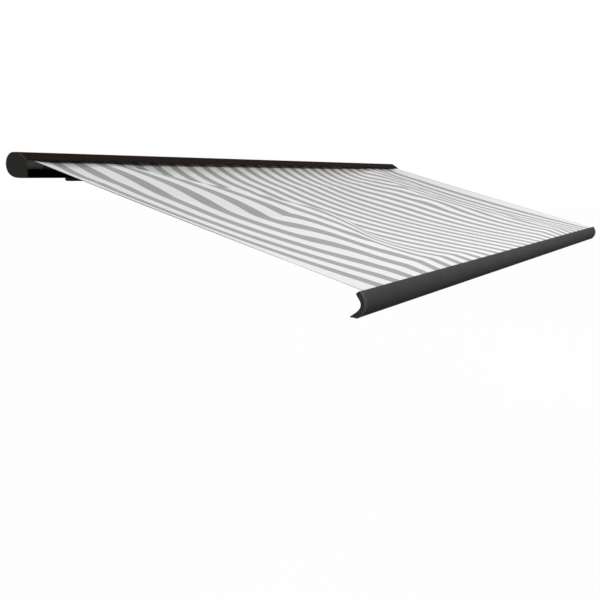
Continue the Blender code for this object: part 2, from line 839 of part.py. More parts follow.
    wrist_eye = prism(
        word + "_wrist_eye",
        eye_outline(WRIST_EYE_RADIUS, narrow, FOREARM_SHIFT, WRIST_NECK, ARM_SETBACK + TONGUE_LENGTH),
        -WRIST_EYE_HEIGHT / 2, WRIST_EYE_HEIGHT / 2, at_wrist, cast, elbow_joint,
    )
    wrist_bore = helper(
        word + "_wrist_bore", circle((0, 0), PIN_RADIUS + FIT, 20), -reach, reach, at_wrist, elbow_joint
    )
    boolean(wrist_eye, wrist_bore, "DIFFERENCE")
    return elbow_joint, elbow_world


# Brackets that hold the arms

def slope_point(origin, out, up):
    place = origin + OUT * out + UP * up
    return (place.y, place.z)


def make_shoulder_bracket(side, word, shell, cast, steel):
    x = side * SHOULDER_X
    cheek = FORK_HALF
    floor_z = TOP_Z - FLOOR_DROP + CASSETTE_WALL + FIT
    outline = [
        slope_point(SHOULDER, -BRACKET_BACK, cheek),
        slope_point(SHOULDER, BRACKET_FRONT, cheek),
        slope_point(SHOULDER, BRACKET_FRONT, -cheek),
        (FRONT_Y + BRACKET_BASE_FRONT, floor_z),
        (FRONT_Y + BRACKET_BASE_BACK, floor_z),
        slope_point(SHOULDER, -BRACKET_BACK, -cheek),
    ]
    outer = x + side * BRACKET_OUTER_SIDE
    inner = x - side * BRACKET_INNER_SIDE
    bracket = prism("shoulder_bracket_" + word, outline, outer, inner, along_x, cast)
    gap = FORK_HALF - BRACKET_CHEEK
    pocket = helper(
        "shoulder_pocket_" + word,
        [
            slope_point(SHOULDER, -BRACKET_BACK + BRACKET_WEB, gap),
            slope_point(SHOULDER, 0.05, gap),
            slope_point(SHOULDER, 0.05, -gap),
            slope_point(SHOULDER, -BRACKET_BACK + BRACKET_WEB, -gap),
        ],
        x + side * BRACKET_POCKET_SIDE,
        x - side * (BRACKET_INNER_SIDE + 0.01),
        along_x,
    )
    world = SHOULDER + Vector((x, 0, 0))

    def stand(p, q, level):
        return world + Vector((p, 0, 0)) + OUT * q + UP * level

    bore = helper(
        "shoulder_pin_bore_" + word, circle((0, 0), PIN_RADIUS + FIT, 20), -cheek - FIT, cheek + 0.02, stand
    )
    boolean(bracket, pocket, "DIFFERENCE")
    boolean(bracket, bore, "DIFFERENCE")
    pin_place = joint_empty("shoulder_pin_place_" + word, world)
    pin("shoulder_pin_" + word, -cheek, cheek + FIT, False, steel, pin_place)

    # the foot under the cassette, bolted up through its floor into the bracket
    start = side * (WIDTH / 2 - FOOT_START)
    end = side * (WIDTH / 2 - FOOT_END)
    low = TOP_Z - FLOOR_DROP - FIT - FOOT_DEPTH
    high = low + FOOT_DEPTH
    left, right = min(start, end), max(start, end)
    front_view = (
        [(left, high)]
        + arc((left + FOOT_CORNER, low + FOOT_CORNER), FOOT_CORNER, 180.0, 270.0, 4)
        + arc((right - FOOT_CORNER, low + FOOT_CORNER), FOOT_CORNER, 270.0, 360.0, 4)
        + [(right, high)]
    )
    foot = prism(
        "shoulder_foot_" + word,
        front_view,
        FRONT_Y + FOOT_FRONT,
        FRONT_Y + FOOT_BACK,
        lambda p, q, level: Vector((p, level, q)),
        cast,
    )
    bolt_y = FRONT_Y + (BRACKET_BASE_FRONT + BRACKET_BASE_BACK) / 2
    for hand, bolt_x in (("outer", outer - side * FOOT_BOLT_INSET), ("inner", inner + side * FOOT_BOLT_INSET)):

        def upright(p, q, level, bolt_x=bolt_x):
            return Vector((bolt_x + p, bolt_y + q, level))

        top = floor_z + FOOT_BOLT_DEPTH
        bore = helper(
            "foot_bolt_bore_" + word + "_" + hand,
            circle((0, 0), FOOT_BOLT_RADIUS + FIT, 16),
            low - 0.01,
            top + FIT,
            upright,
        )
        for target in (bracket, foot, shell):
            boolean(target, bore, "DIFFERENCE")
        lathe(
            "foot_bolt_" + word + "_" + hand,
            [
                (low - FIT - FOOT_BOLT_RADIUS, FOOT_BOLT_HEAD),
                (low - FIT, FOOT_BOLT_HEAD),
                (low - FIT, FOOT_BOLT_RADIUS),
                (top, FOOT_BOLT_RADIUS),
            ],
            12,
            upright,
            steel,
        )


def ray_to_bar(origin, out_start, up):
    """How far out from the pin the bar's hollow back face lies, at a height off the slope."""
    centre = Vector(bar_section((BAR_INNER_RADIUS, -BAR_INNER_DROP)))
    start = Vector(slope_point(origin, out_start, up)) - centre
    way = Vector((OUT.y, OUT.z))
    b = start.dot(way)
    c = start.dot(start) - (BAR_INNER_RADIUS - FIT) ** 2
    return out_start - b + math.sqrt(b * b - c)


def make_wrist_bracket(side, word, cast, steel, body):
    x = side * SHOULDER_X
    half = WRIST_BRACKET_HEIGHT / 2
    steps = 6
    front = []
    for i in range(steps + 1):
        up = half - WRIST_BRACKET_HEIGHT * i / steps
        front.append(slope_point(WRIST, ray_to_bar(WRIST, 0.0, up), up))
    back = [
        slope_point(WRIST, -WRIST_BRACKET_BACK, -half),
        slope_point(WRIST, -WRIST_BRACKET_BACK, half),
    ]
    local = lambda p, q, level: Vector((level, p, q)) - WRIST_LEFT_WORLD
    bracket = prism(
        "wrist_bracket_" + word,
        front + back,
        x - WRIST_BRACKET_WIDTH / 2,
        x + WRIST_BRACKET_WIDTH / 2,
        local,
        cast,
        body,
    )
    gap = WRIST_EYE_HEIGHT / 2 + FIT
    pocket = helper(
        "wrist_pocket_" + word,
        [
            slope_point(WRIST, -0.05, gap),
            slope_point(WRIST, WRIST_POCKET_FRONT, gap),
            slope_point(WRIST, WRIST_POCKET_FRONT, -gap),
            slope_point(WRIST, -0.05, -gap),
        ],
        x - WRIST_BRACKET_WIDTH,
        x + WRIST_BRACKET_WIDTH,
        local,
        body,
    )
    world = WRIST + Vector((x, 0, 0))

    def stand(p, q, level):
        return world + Vector((p, 0, 0)) + OUT * q + UP * level - WRIST_LEFT_WORLD

    bore = helper("wrist_pin_bore_" + word, circle((0, 0), PIN_RADIUS + FIT, 20), -half - 0.01, half + 0.01, stand, body)
    boolean(bracket, pocket, "DIFFERENCE")
    boolean(bracket, bore, "DIFFERENCE")
    place = joint_empty("wrist_pin_place_" + word, world, body, WRIST_LEFT_WORLD)
    pin("wrist_pin_" + word, -half + FIT, half + FIT, False, steel, place)


# Fabric

def ridge_from_edge(t):
    """How far in from the fabric's side the ridge over the arm lies."""
    start = FABRIC_HALF - SHOULDER_X + RIDGE_PAST_SHOULDER
    elbow = FABRIC_HALF - ELBOW_X + RIDGE_PAST_ELBOW
    end = FABRIC_HALF - SHOULDER_X + RIDGE_PAST_WRIST
    peak = (ELBOW_OUT - RIDGE_BEFORE_ELBOW) / FABRIC_LENGTH
    if t < peak:
        return start + (elbow - start) * math.sin(t / peak * math.pi / 2) ** 0.9
    return elbow + (end - elbow) * (t - peak) / (1 - peak)


def hang_share(x, t):
    """The share of the full sag at a place: least at the sides and over the arms."""
    from_edge = FABRIC_HALF - abs(x)
    ridge = ridge_from_edge(t)
    if from_edge < ridge:
        place = max(from_edge / ridge, 0.0)
        return RIDGE_SHARE + VALLEY_SHARE * math.sin(math.pi * place ** VALLEY_SKEW)
    drop = min((from_edge - ridge) / DROP_WIDTH, 1.0)
    return RIDGE_SHARE + (1 - RIDGE_SHARE) * math.sin(drop * math.pi / 2) ** 1.5


def from_link(point, start, end):
    """The distance of a point from one link of an arm, in the slope's plane."""
    way = end - start
    along = min(max((point - start).dot(way) / way.length_squared, 0.0), 1.0)
    return (point - start - way * along).length


def room_over_arm(x, straight):
    """How far the fabric can hang below a straight place before it lies on an arm."""
    point = Vector((abs(x), (straight - FABRIC_START).dot(OUT)))
    shoulder = Vector((SHOULDER_X, SHOULDER_OUT))
    elbow = Vector((ELBOW_X, ELBOW_OUT))
    wrist = Vector((SHOULDER_X, WRIST_OUT))
    away = min(from_link(point, shoulder, elbow), from_link(point, elbow, wrist))
    under = ELBOW_TOP + FABRIC_THICKNESS + ARM_CLEARANCE
    room = ((straight - SHOULDER).dot(UP) - under) / COS
    return room + ARM_FALL * max(away - ARM_SPREAD, 0.0) ** 2


def soft_least(a, b):
    """The lesser of two depths, rounded off where they meet and never more than either."""
    least = min(a, b)
    return least - ARM_SOFTNESS * math.log1p(math.exp(-abs(a - b) / ARM_SOFTNESS))


def fabric_point(x, t):
    middle, way, inward = groove_place()
    mouth = bar_section(middle - inward * (FIT + FABRIC_THICKNESS / 2))
    end = Vector((0.0, mouth[0], mouth[1]))
    straight = FABRIC_START.lerp(end, t)
    free = SAG * math.sin(math.pi * t ** SAG_SKEW) * hang_share(x, t)
    hang = max(soft_least(free, room_over_arm(x, straight)), 0.0) * min(free / ARM_SOFTNESS, 1.0)
    return Vector((x, straight.y, straight.z - hang))


def leave_roller(first, radius):
    """Where a straight piece of cloth that ends at a point lets go of the roller."""
    from_axis = Vector((first.y, first.z)) - Vector((ROLLER_CENTRE.y, ROLLER_CENTRE.z))
    turn = math.acos(radius / from_axis.length)
    angle = math.atan2(from_axis.y, from_axis.x) - turn
    spot = Vector((math.cos(angle), math.sin(angle))) * radius
    return Vector((first.x, ROLLER_CENTRE.y + spot.x, ROLLER_CENTRE.z + spot.y))


def make_fabric(fabric):
    bm = bmesh.new()
    sheets = []
    for layer in (0.0, FABRIC_THICKNESS):
        sheet = []
        for row in range(CLOTH_ROWS + 1):
            t = max(row, 1) / CLOTH_ROWS
            line = []
            for column in range(CLOTH_COLUMNS + 1):
                x = -FABRIC_HALF + 2 * FABRIC_HALF * column / CLOTH_COLUMNS
                point = fabric_point(x, t) - UP * layer
                if row == 0:
                    point = leave_roller(point, TURNS_RADIUS + FIT + FABRIC_THICKNESS - layer)
                line.append(bm.verts.new(point))
            sheet.append(line)
        sheets.append(sheet)
    top, under = sheets
    for row in range(CLOTH_ROWS):
        for column in range(CLOTH_COLUMNS):
            for sheet in sheets:
                bm.faces.new(
                    [
                        sheet[row][column],
                        sheet[row][column + 1],
                        sheet[row + 1][column + 1],
                        sheet[row + 1][column],
                    ]
                )
    border = [(0, c) for c in range(CLOTH_COLUMNS)]
    border += [(r, CLOTH_COLUMNS) for r in range(CLOTH_ROWS)]
    border += [(CLOTH_ROWS, CLOTH_COLUMNS - c) for c in range(CLOTH_COLUMNS)]
    border += [(CLOTH_ROWS - r, 0) for r in range(CLOTH_ROWS)]
    for a, b in zip(border, border[1:] + border[:1]):
        bm.faces.new([top[a[0]][a[1]], top[b[0]][b[1]], under[b[0]][b[1]], under[a[0]][a[1]]])
    finish("canopy_fabric", bm, fabric)


WRIST_LEFT_WORLD = WRIST + Vector((-SHOULDER_X, 0, 0))


def build():
    clear_scene()
    paint = make_material("anthracite_paint", (0.040, 0.039, 0.038), 0.45, 0.1)
    plastic = make_material("anthracite_plastic", (0.045, 0.045, 0.042), 0.5, 0.0)
    cast = make_material("painted_casting", (0.050, 0.050, 0.050), 0.5, 0.2)
    steel = make_material("zinc_steel", (0.55, 0.55, 0.56), 0.35, 1.0)
    spring_steel = make_material("spring_steel", (0.30, 0.30, 0.31), 0.4, 1.0)
    alloy = make_material("roller_steel", (0.60, 0.60, 0.61), 0.4, 1.0)
    casing = make_material("motor_casing", (0.25, 0.25, 0.26), 0.4, 0.8)
    inner_plastic = make_material("black_plastic", (0.02, 0.02, 0.02), 0.5, 0.0)
    webbing = make_material("black_webbing", (0.015, 0.015, 0.015), 0.8, 0.0)
    fabric = make_material("awning_cloth", (0.75, 0.75, 0.75), 0.85, 0.0)
    piping = make_material("white_piping", (0.7, 0.7, 0.7), 0.5, 0.0)

    shell = make_cassette(paint, plastic, steel)
    make_wall_brackets(steel, steel)
    make_roller(alloy, fabric, steel, inner_plastic, casing)
    bar_parent = None
    for side, word in ((-1, "left"), (1, "right")):
        elbow_joint, elbow_world = make_arm(side, word, paint, cast, steel, spring_steel, webbing)
        make_shoulder_bracket(side, word, shell, cast, steel)
        if word == "left":
            bar_parent = joint_empty("left_wrist_axis", WRIST_LEFT_WORLD, elbow_joint, elbow_world)
    for side, word in ((-1, "left"), (1, "right")):
        make_wrist_bracket(side, word, cast, steel, bar_parent)
    make_front_bar(paint, plastic, piping, bar_parent)
    make_fabric(fabric)


build()
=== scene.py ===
"""The looks of a full-cassette folding-arm awning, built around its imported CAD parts.

Metres, +Z up. The wall is the plane Y = 0 and the awning reaches out along -Y.
"""

import json
import math

import bmesh
import bpy
import numpy as np
from mathutils import Matrix, Vector
from mathutils.geometry import tessellate_polygon


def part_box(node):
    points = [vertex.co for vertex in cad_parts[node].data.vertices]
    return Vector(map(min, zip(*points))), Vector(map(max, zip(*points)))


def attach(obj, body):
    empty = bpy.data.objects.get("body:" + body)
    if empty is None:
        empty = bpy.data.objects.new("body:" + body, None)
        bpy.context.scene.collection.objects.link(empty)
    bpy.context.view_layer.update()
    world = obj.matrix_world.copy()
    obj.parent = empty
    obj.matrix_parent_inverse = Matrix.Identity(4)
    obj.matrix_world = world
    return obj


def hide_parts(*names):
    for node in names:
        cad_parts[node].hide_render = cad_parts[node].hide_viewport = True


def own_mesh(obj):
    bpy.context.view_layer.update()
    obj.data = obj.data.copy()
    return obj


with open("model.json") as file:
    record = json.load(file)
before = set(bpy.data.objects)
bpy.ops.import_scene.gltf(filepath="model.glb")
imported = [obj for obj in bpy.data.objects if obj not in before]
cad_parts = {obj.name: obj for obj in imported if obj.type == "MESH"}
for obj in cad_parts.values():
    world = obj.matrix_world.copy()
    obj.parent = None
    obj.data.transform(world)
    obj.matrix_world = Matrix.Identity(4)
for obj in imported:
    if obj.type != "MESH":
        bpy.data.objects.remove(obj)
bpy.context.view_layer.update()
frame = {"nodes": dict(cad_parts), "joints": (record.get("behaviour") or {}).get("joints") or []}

# Sizes that follow from the frame
NODES = frame["nodes"]
JOINTS = {joint["name"]: Vector(joint["pos_m"]) for joint in frame["joints"]}
COVER_LOW, COVER_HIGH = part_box("cassette_top_cover")
TUBE_LOW, TUBE_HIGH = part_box("roller_tube")
TURNS_LOW, TURNS_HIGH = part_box("fabric_turns")
CLOTH_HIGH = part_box("canopy_fabric")[1]
CAP_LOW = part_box("end_cap_left")[0]
HALF_WIDTH = -CAP_LOW.x
COVER_HALF = COVER_HIGH.x
FRONT_Y = COVER_LOW.y
TOP_Z = COVER_HIGH.z
ROLLER = Vector((0.0, (TUBE_LOW.y + TUBE_HIGH.y) / 2, (TUBE_LOW.z + TUBE_HIGH.z) / 2))
TURNS_RADIUS = (TURNS_HIGH.z - TURNS_LOW.z) / 2
FABRIC_HALF = CLOTH_HIGH.x

# The slope that the cloth and the arms lie in
PITCH = math.radians(15.0)
OUT = Vector((0.0, -math.cos(PITCH), -math.sin(PITCH)))
UP = Vector((0.0, -math.sin(PITCH), math.cos(PITCH)))

# The gap between pieces that fit, and the steps in a full round
FIT = 0.0003
ROUND_STEPS = 72

# Cassette section, measured back from its front plane and down from its top
CASSETTE_DEPTH = 0.187
CASSETTE_WALL = 0.003
LIP_DROP = 0.050
LIP_EDGE = 0.004
FASCIA_BACK = 0.074
FASCIA_ROUND = 0.008
FASCIA_ROUND_FALL = 0.45
BROW_END = 0.004
REAR_RADIUS = 0.075
FLOOR_DROP = 0.1565
FLOOR_FRONT = 0.018
FLOOR_BACK = 0.065
SILL_DROP = 0.151
REAR_PULL = 0.125
UNDER_PULL = 0.145
NOSE_PULL = 0.008
SILL_PULL = (0.002, 0.003)
COVER_JOINT_ANGLE = 35.0
COVER_JOINT_GAP = 0.0007
CAP_EDGE = 0.003
CAP_EDGE_STEPS = 4
CASSETTE_EDGE = 0.0008
BROW_STEPS = 8
COVER_STEPS = 24
SHELL_STEPS = 14
UNDER_STEPS = 26
NOSE_STEPS = 6

# Front bar section, measured from the deepest point of its hollow back
BAR_INNER_RADIUS = 0.0586
BAR_INNER_DROP = 0.0026
BAR_TOP_ANGLE = 121.0
BAR_BOTTOM_ANGLE = 270.0
BAR_OUTER_RADIUS = 0.082
BAR_TOP = Vector((0.0116, 0.0595))
BAR_FOOT = Vector((0.0214, -0.0676))
BAR_WALL = 0.0022
BAR_CAP_THICKNESS = 0.005
BAR_CAP_RECESS = 0.0012
BAR_CAP_RIM = 0.0028
BAR_CAP_RIB = 0.0062
BAR_CAP_RIB_RISE = 0.0009
BAR_CAP_PROUD = 0.0009
BAR_CAP_SLEEVE = 0.030
BAR_STEPS = 44
BAR_CAP_STEPS = 24
BAR_LEAST_GAP = 0.0005
BAR_EDGE = 0.0007
BAR_CAP_EDGE = 0.0005
CASTING_EDGE = 0.0006
BAR_CAP_LOWER = ((0.0584, -0.0612), (0.0180, -0.0360), (0.0027, -0.0220), (0.0027, -0.0010))
BAR_CAP_UPPER = ((0.0027, -0.0010), (0.0027, 0.0140), (0.0155, 0.0240), (0.0284, 0.0476))
GROOVE_MOUTH = 0.004
GROOVE_LIP = 0.0015
GROOVE_WIDTH = 0.008
GROOVE_DEPTH = 0.0082
WRIST_BACK = 0.0425
WRIST_RAISE = 0.0080
WRIST = JOINTS["left_wrist"]
BAR_DEEPEST = WRIST + OUT * WRIST_BACK - UP * WRIST_RAISE

# Form of the cloth: how far it hangs, and the ridge where it lies over each arm
CLOTH_THICKNESS = 0.0015
SAG = 0.119
SAG_SKEW = 0.79
RIDGE_BEFORE_SHOULDER = 0.20
RIDGE_PAST_WRIST = 0.30
EDGE_SHARE = 0.02
RIDGE_SHARE = 0.17
REAR_RIDGE_DROP = 0.14
REAR_REACH = 0.20
ELBOW_RISE = 0.09
ELBOW_RISE_AT = 0.35
ELBOW_RISE_REACH = 0.07
VALLEY_SHARE = 0.56
REAR_VALLEY_LESS = 0.30
VALLEY_SKEW = 0.80
VALLEY_POWER = 0.90
DROP_WIDTH_LEFT = 0.50
DROP_WIDTH_RIGHT = 1.18
MOUTH_DROP = 0.014
MOUTH_REACH = 0.20
MOUTH_FROM_EDGE = 0.18
BAR_LIFT = 0.019
BAR_LIFT_FROM_EDGE = 1.2
BAR_LIFT_WIDTH = 0.6
BAR_LIFT_START = 0.70
BAR_LIFT_END = 0.95
ARM_CLEARANCE = 0.0010
ARM_SPREAD = 0.045
ARM_FALL = 0.55
ARM_SOFTNESS = 0.0025
ELBOW_PIN_TOP = 0.0223
FIRST_ROW = 1 / 22
CLOTH_COLUMNS = 400
CLOTH_ROWS = 108
LEAD_ROWS = 5
HEM_LENGTH = 0.128
HEM_ROWS = 10
HEM_BELOW = 0.0009
HEM_END = 0.998
SHEET_SHARP = 60.0

# Block stripes, measured in from the cloth's left side
STRIPE_FIRST = 0.185
STRIPE_PITCH = 0.1832
STRIPE_SHARE = 0.46
STRIPE_BLUR = 0.002
PLAIN_SIDE = 0.4
SIDE_HEM = 0.010
HEM_TONE = 0.45

# The cloth's weave, tone and gloss
YARN_SCALE = 900.0
YARN_STRETCH = 0.03
CLOUD_SCALE = 2.2
WEAVE_SCALE = 420.0
WEAVE_DEPTH = 0.00012
YARN_TONE = 0.025
CLOUD_TONE = 0.015
MEAN_TONE = 0.98
YARN_IN_WEAVE = 0.5
CLOTH_ROUGHNESS = (0.80, 0.92)
CLOTH_SPECULAR = 0.2
CLOTH_SHEEN = 0.08

# Where most of a noise texture's values lie
NOISE_LOW = 0.3
NOISE_HIGH = 0.7

# Uneven tint and gloss of painted and metal surfaces
PAINT_CLOUD_SCALE = 5.0
CLOUD_IN_GLOSS = 0.6
GRAIN_IN_GLOSS = 0.4

# Joining and shading the triangles of the CAD parts
MERGE_DISTANCE = 0.00002
SHARP_ANGLE = math.radians(32.0)

# Where the camera stood, from the straight edges in the photograph
PHOTO_SIZE = 600
CAMERA_PLACE = Vector((-5.6229, -4.0593, -0.0536))
CAMERA_YAW = math.radians(58.92)
CAMERA_PITCH = math.radians(-9.07)
CAMERA_ROLL = math.radians(0.19)
FOCAL_PIXELS = 747.63
AXIS_PIXEL = (317.12, 294.32)
SENSOR = 36.0
VIEW_END = 200.0

# Floor and light
FLOOR_Z = -2.60
FLOOR_SIZE = 60.0
FLOOR_BOUNCE = 0.13
FLOOR_TONE = 0.90
WHITE_SHARE = 0.97
SKY_TOP = 0.30
SKY_HORIZON = 0.26
SKY_FULL_HEIGHT = 0.9
LAMP_PLACE = Vector((0.0, -5.0, 3.0))
LAMP_AIM = Vector((0.0, -1.8, -0.4))
LAMP_LENGTH = 7.0
LAMP_DEPTH = 1.6
LAMP_POWER = 168.0
SUN_STRENGTH = 1.50
SUN_ANGLE = math.radians(40.0)
SUN_HEIGHT = math.radians(50.0)
SUN_TURN = math.radians(12.0)


# Outlines

def section(back, drop):
    """A point of the cassette's section, from its front plane and its top."""
    return (FRONT_Y + back, TOP_Z - drop)


def arc(centre, radius, start, end, steps):
    """Points of an arc between two angles in degrees."""
    points = []
    for i in range(steps + 1):
        angle = math.radians(start + (end - start) * i / steps)
        points.append((centre[0] + radius * math.cos(angle), centre[1] + radius * math.sin(angle)))
    return points


def bezier(start, pull_a, pull_b, end, steps):
    points = []
    for i in range(steps + 1):
        t = i / steps
        s = 1 - t
        weights = (s ** 3, 3 * s * s * t, 3 * s * t * t, t ** 3)
        corners = (start, pull_a, pull_b, end)
        points.append(tuple(sum(w * c[k] for w, c in zip(weights, corners)) for k in (0, 1)))
    return points


def offset_path(points, distance):
    """Points moved sideways by a distance, to the right of the way that the path runs."""
    moved = []
    last = len(points) - 1
    for i, point in enumerate(points):
        before = Vector(points[max(i - 1, 0)])
        after = Vector(points[min(i + 1, last)])
        here = Vector(point)
        sides = []
        for a, b in ((before, here), (here, after)):
            if (b - a).length > 1e-9:
                way = (b - a).normalized()
                sides.append(Vector((way.y, -way.x)))
        side = sum(sides, Vector((0.0, 0.0))).normalized()
        stretch = 1.0 / max(side.dot(sides[0]), 0.5)
        moved.append(tuple(here + side * distance * stretch))
    return moved


def strip(points, thickness):
    return points + offset_path(points, thickness)[::-1]


# Meshes

def shape(name, mesh, material, body, nodes=(), sharp=35.0):
    """A finished piece: shaded, in its material, on its body and in place of its CAD nodes."""
    mesh.shade_smooth()
    mesh.set_sharp_from_angle(angle=math.radians(sharp))
    piece = bpy.data.objects.new(name, mesh)
    bpy.context.scene.collection.objects.link(piece)
    mesh.materials.append(material)
    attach(piece, body)
    if nodes:
        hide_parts(*nodes)
    return piece


def sweep(name, outline, low, high, hole=None, floor=None):
    """A (Y, Z) outline swept along X. A hole runs right through, or down to a floor."""
    bm = bmesh.new()
    loops = [outline] + ([hole] if hole else [])
    flat = [[Vector((p, q, 0.0)) for p, q in loop] for loop in loops]
    rows = [
        [[bm.verts.new((x, p, q)) for p, q in loop] for loop in loops]
        for x in (low, high)
    ]
    blind = hole is not None and floor is not None
    for row in rows:
        shown = flat[:1] if blind and row is rows[0] else flat
        corners = [v for loop in row[: len(shown)] for v in loop]
        for triangle in tessellate_polygon(shown):
            bm.faces.new([corners[i] for i in triangle])
    for k, loop in enumerate(loops):
        low_row, high_row = rows[0][k], rows[1][k]
        if blind and k == 1:
            for v in low_row:
                v.co.x = floor
            for triangle in tessellate_polygon([flat[1]]):
                bm.faces.new([low_row[i] for i in triangle])
        for i in range(len(loop)):
            j = (i + 1) % len(loop)
            bm.faces.new([low_row[i], low_row[j], high_row[j], high_row[i]])
    bmesh.ops.recalc_face_normals(bm, faces=bm.faces)
    mesh = bpy.data.meshes.new(name)
    bm.to_mesh(mesh)
    bm.free()
    return mesh


def soften(piece, width, segments=2, angle=50.0):
    """Rounded edges where two faces meet at more than an angle."""
    bevel = piece.modifiers.new("rounded_edge", "BEVEL")
    bevel.width = width
    bevel.segments = segments
    bevel.limit_method = "ANGLE"
    bevel.angle_limit = math.radians(angle)
    bevel.harden_normals = True
    return piece


# Materials

def add(tree, kind, inputs=None, **settings):
    """A shader node with its settings, and each input set to a value or linked."""
    made = tree.nodes.new(kind)
    for key, value in settings.items():
        setattr(made, key, value)
    for key, value in (inputs or {}).items():
        if isinstance(value, bpy.types.NodeSocket):
            tree.links.new(value, made.inputs[key])
        else:
            made.inputs[key].default_value = value
    return made


def calculate(tree, operation, a, b=0.0):
    return add(tree, "ShaderNodeMath", {0: a, 1: b}, operation=operation).outputs[0]


def ranged(tree, value, low, high, to_low, to_high):
    limits = {"Value": value, "From Min": low, "From Max": high, "To Min": to_low, "To Max": to_high}
    return add(tree, "ShaderNodeMapRange", limits).outputs["Result"]


def noise(tree, place, scale, detail=3.0, roughness=0.5):
    values = {"Vector": place, "Scale": scale, "Detail": detail, "Roughness": roughness}
    return add(tree, "ShaderNodeTexNoise", values).outputs["Fac"]


def blended(tree, factor, a, b):
    mix = add(tree, "ShaderNodeMix", {"Factor": factor}, data_type="RGBA")
    for socket, colour in ((mix.inputs[6], a), (mix.inputs[7], b)):
        if isinstance(colour, bpy.types.NodeSocket):
            tree.links.new(colour, socket)
        else:
            socket.default_value = (*colour, 1.0)
    return mix.outputs[2]


def new_material(name):
    material = bpy.data.materials.new(name)
    material.use_nodes = True
    tree = material.node_tree
    place = add(tree, "ShaderNodeTexCoord").outputs["Object"]
    return material, tree, tree.nodes["Principled BSDF"], place


def surface(name, colour, roughness, metallic=0.0, specular=0.5, grain=700.0, relief=0.00004, tint=0.10,
            spread=0.07, stretch=(1.0, 1.0, 1.0)):
    """A painted, cast or plain metal surface: cloudy tint, fine grain and uneven gloss."""
    material, tree, shader, place = new_material(name)
    place = add(tree, "ShaderNodeMapping", {"Vector": place, "Scale": stretch}).outputs["Vector"]
    cloud = noise(tree, place, PAINT_CLOUD_SCALE, detail=5.0, roughness=0.6)
    fine = noise(tree, place, grain, detail=2.0)
    darker = tuple(c * (1 - tint) for c in colour)
    lighter = tuple(c * (1 + tint) for c in colour)
    tone = ranged(tree, cloud, NOISE_LOW, NOISE_HIGH, 0.0, 1.0)
    tree.links.new(blended(tree, tone, darker, lighter), shader.inputs["Base Color"])
    cloud_part = calculate(tree, "MULTIPLY", cloud, CLOUD_IN_GLOSS)
    fine_part = calculate(tree, "MULTIPLY", fine, GRAIN_IN_GLOSS)
    gloss = calculate(tree, "ADD", cloud_part, fine_part)
    uneven = ranged(tree, gloss, NOISE_LOW, NOISE_HIGH, roughness - spread, roughness + spread)
    tree.links.new(uneven, shader.inputs["Roughness"])
    bump = add(tree, "ShaderNodeBump", {"Height": fine, "Strength": 1.0, "Distance": relief})
    tree.links.new(bump.outputs["Normal"], shader.inputs["Normal"])
    shader.inputs["Metallic"].default_value = metallic
    shader.inputs["Specular IOR Level"].default_value = specular
    return material


def cloth(name, white, grey, striped=True):
    """Woven cloth with block stripes, yarn that varies, and a thin hem line at each side."""
    material, tree, shader, place = new_material(name)
    x = add(tree, "ShaderNodeSeparateXYZ", {"Vector": place}).outputs["X"]
    along = {"Vector": place, "Scale": (1.0, YARN_STRETCH, YARN_STRETCH)}
    yarn_place = add(tree, "ShaderNodeMapping", along).outputs["Vector"]
    yarn = noise(tree, yarn_place, YARN_SCALE, detail=2.0)
    cloud = noise(tree, place, CLOUD_SCALE, detail=4.0, roughness=0.6)
    colour = white
    if striped:
        first = -FABRIC_HALF + STRIPE_FIRST
        turns = calculate(tree, "DIVIDE", calculate(tree, "SUBTRACT", x, first), STRIPE_PITCH)
        away = add(tree, "ShaderNodeMath", {0: turns, 1: 0.5}, operation="PINGPONG").outputs[0]
        edge = STRIPE_SHARE / 2
        blocks = ranged(tree, away, edge - STRIPE_BLUR, edge + STRIPE_BLUR, 1.0, 0.0)
        side = calculate(tree, "ABSOLUTE", x)
        inside = calculate(tree, "LESS_THAN", side, FABRIC_HALF - STRIPE_FIRST * PLAIN_SIDE)
        hem = calculate(tree, "GREATER_THAN", side, FABRIC_HALF - SIDE_HEM)
        hem = calculate(tree, "MULTIPLY", hem, HEM_TONE)
        band = calculate(tree, "MAXIMUM", calculate(tree, "MULTIPLY", blocks, inside), hem)
        colour = blended(tree, band, white, grey)
    yarn_tone = ranged(tree, yarn, NOISE_LOW, NOISE_HIGH, -YARN_TONE, YARN_TONE)
    cloud_tone = ranged(tree, cloud, NOISE_LOW, NOISE_HIGH, -CLOUD_TONE, CLOUD_TONE)
    shade = calculate(tree, "ADD", calculate(tree, "ADD", yarn_tone, cloud_tone), MEAN_TONE)
    tinted = add(tree, "ShaderNodeVectorMath", {0: (1.0, 1.0, 1.0)}, operation="SCALE")
    if striped:
        tree.links.new(colour, tinted.inputs[0])
    else:
        tinted.inputs[0].default_value = white
    tree.links.new(shade, tinted.inputs["Scale"])
    tree.links.new(tinted.outputs[0], shader.inputs["Base Color"])
    wave = {"Vector": place, "Scale": WEAVE_SCALE}
    warp = add(tree, "ShaderNodeTexWave", wave, bands_direction="X").outputs["Fac"]
    weft = add(tree, "ShaderNodeTexWave", wave, bands_direction="Y").outputs["Fac"]
    crossing = calculate(tree, "MULTIPLY", warp, weft)
    weave = calculate(tree, "ADD", crossing, calculate(tree, "MULTIPLY", yarn, YARN_IN_WEAVE))
    bump = add(tree, "ShaderNodeBump", {"Height": weave, "Strength": 1.0, "Distance": WEAVE_DEPTH})
    tree.links.new(bump.outputs["Normal"], shader.inputs["Normal"])
    uneven = ranged(tree, yarn, NOISE_LOW, NOISE_HIGH, *CLOTH_ROUGHNESS)
    tree.links.new(uneven, shader.inputs["Roughness"])
    shader.inputs["Specular IOR Level"].default_value = CLOTH_SPECULAR
    shader.inputs["Sheen Weight"].default_value = CLOTH_SHEEN
    return material


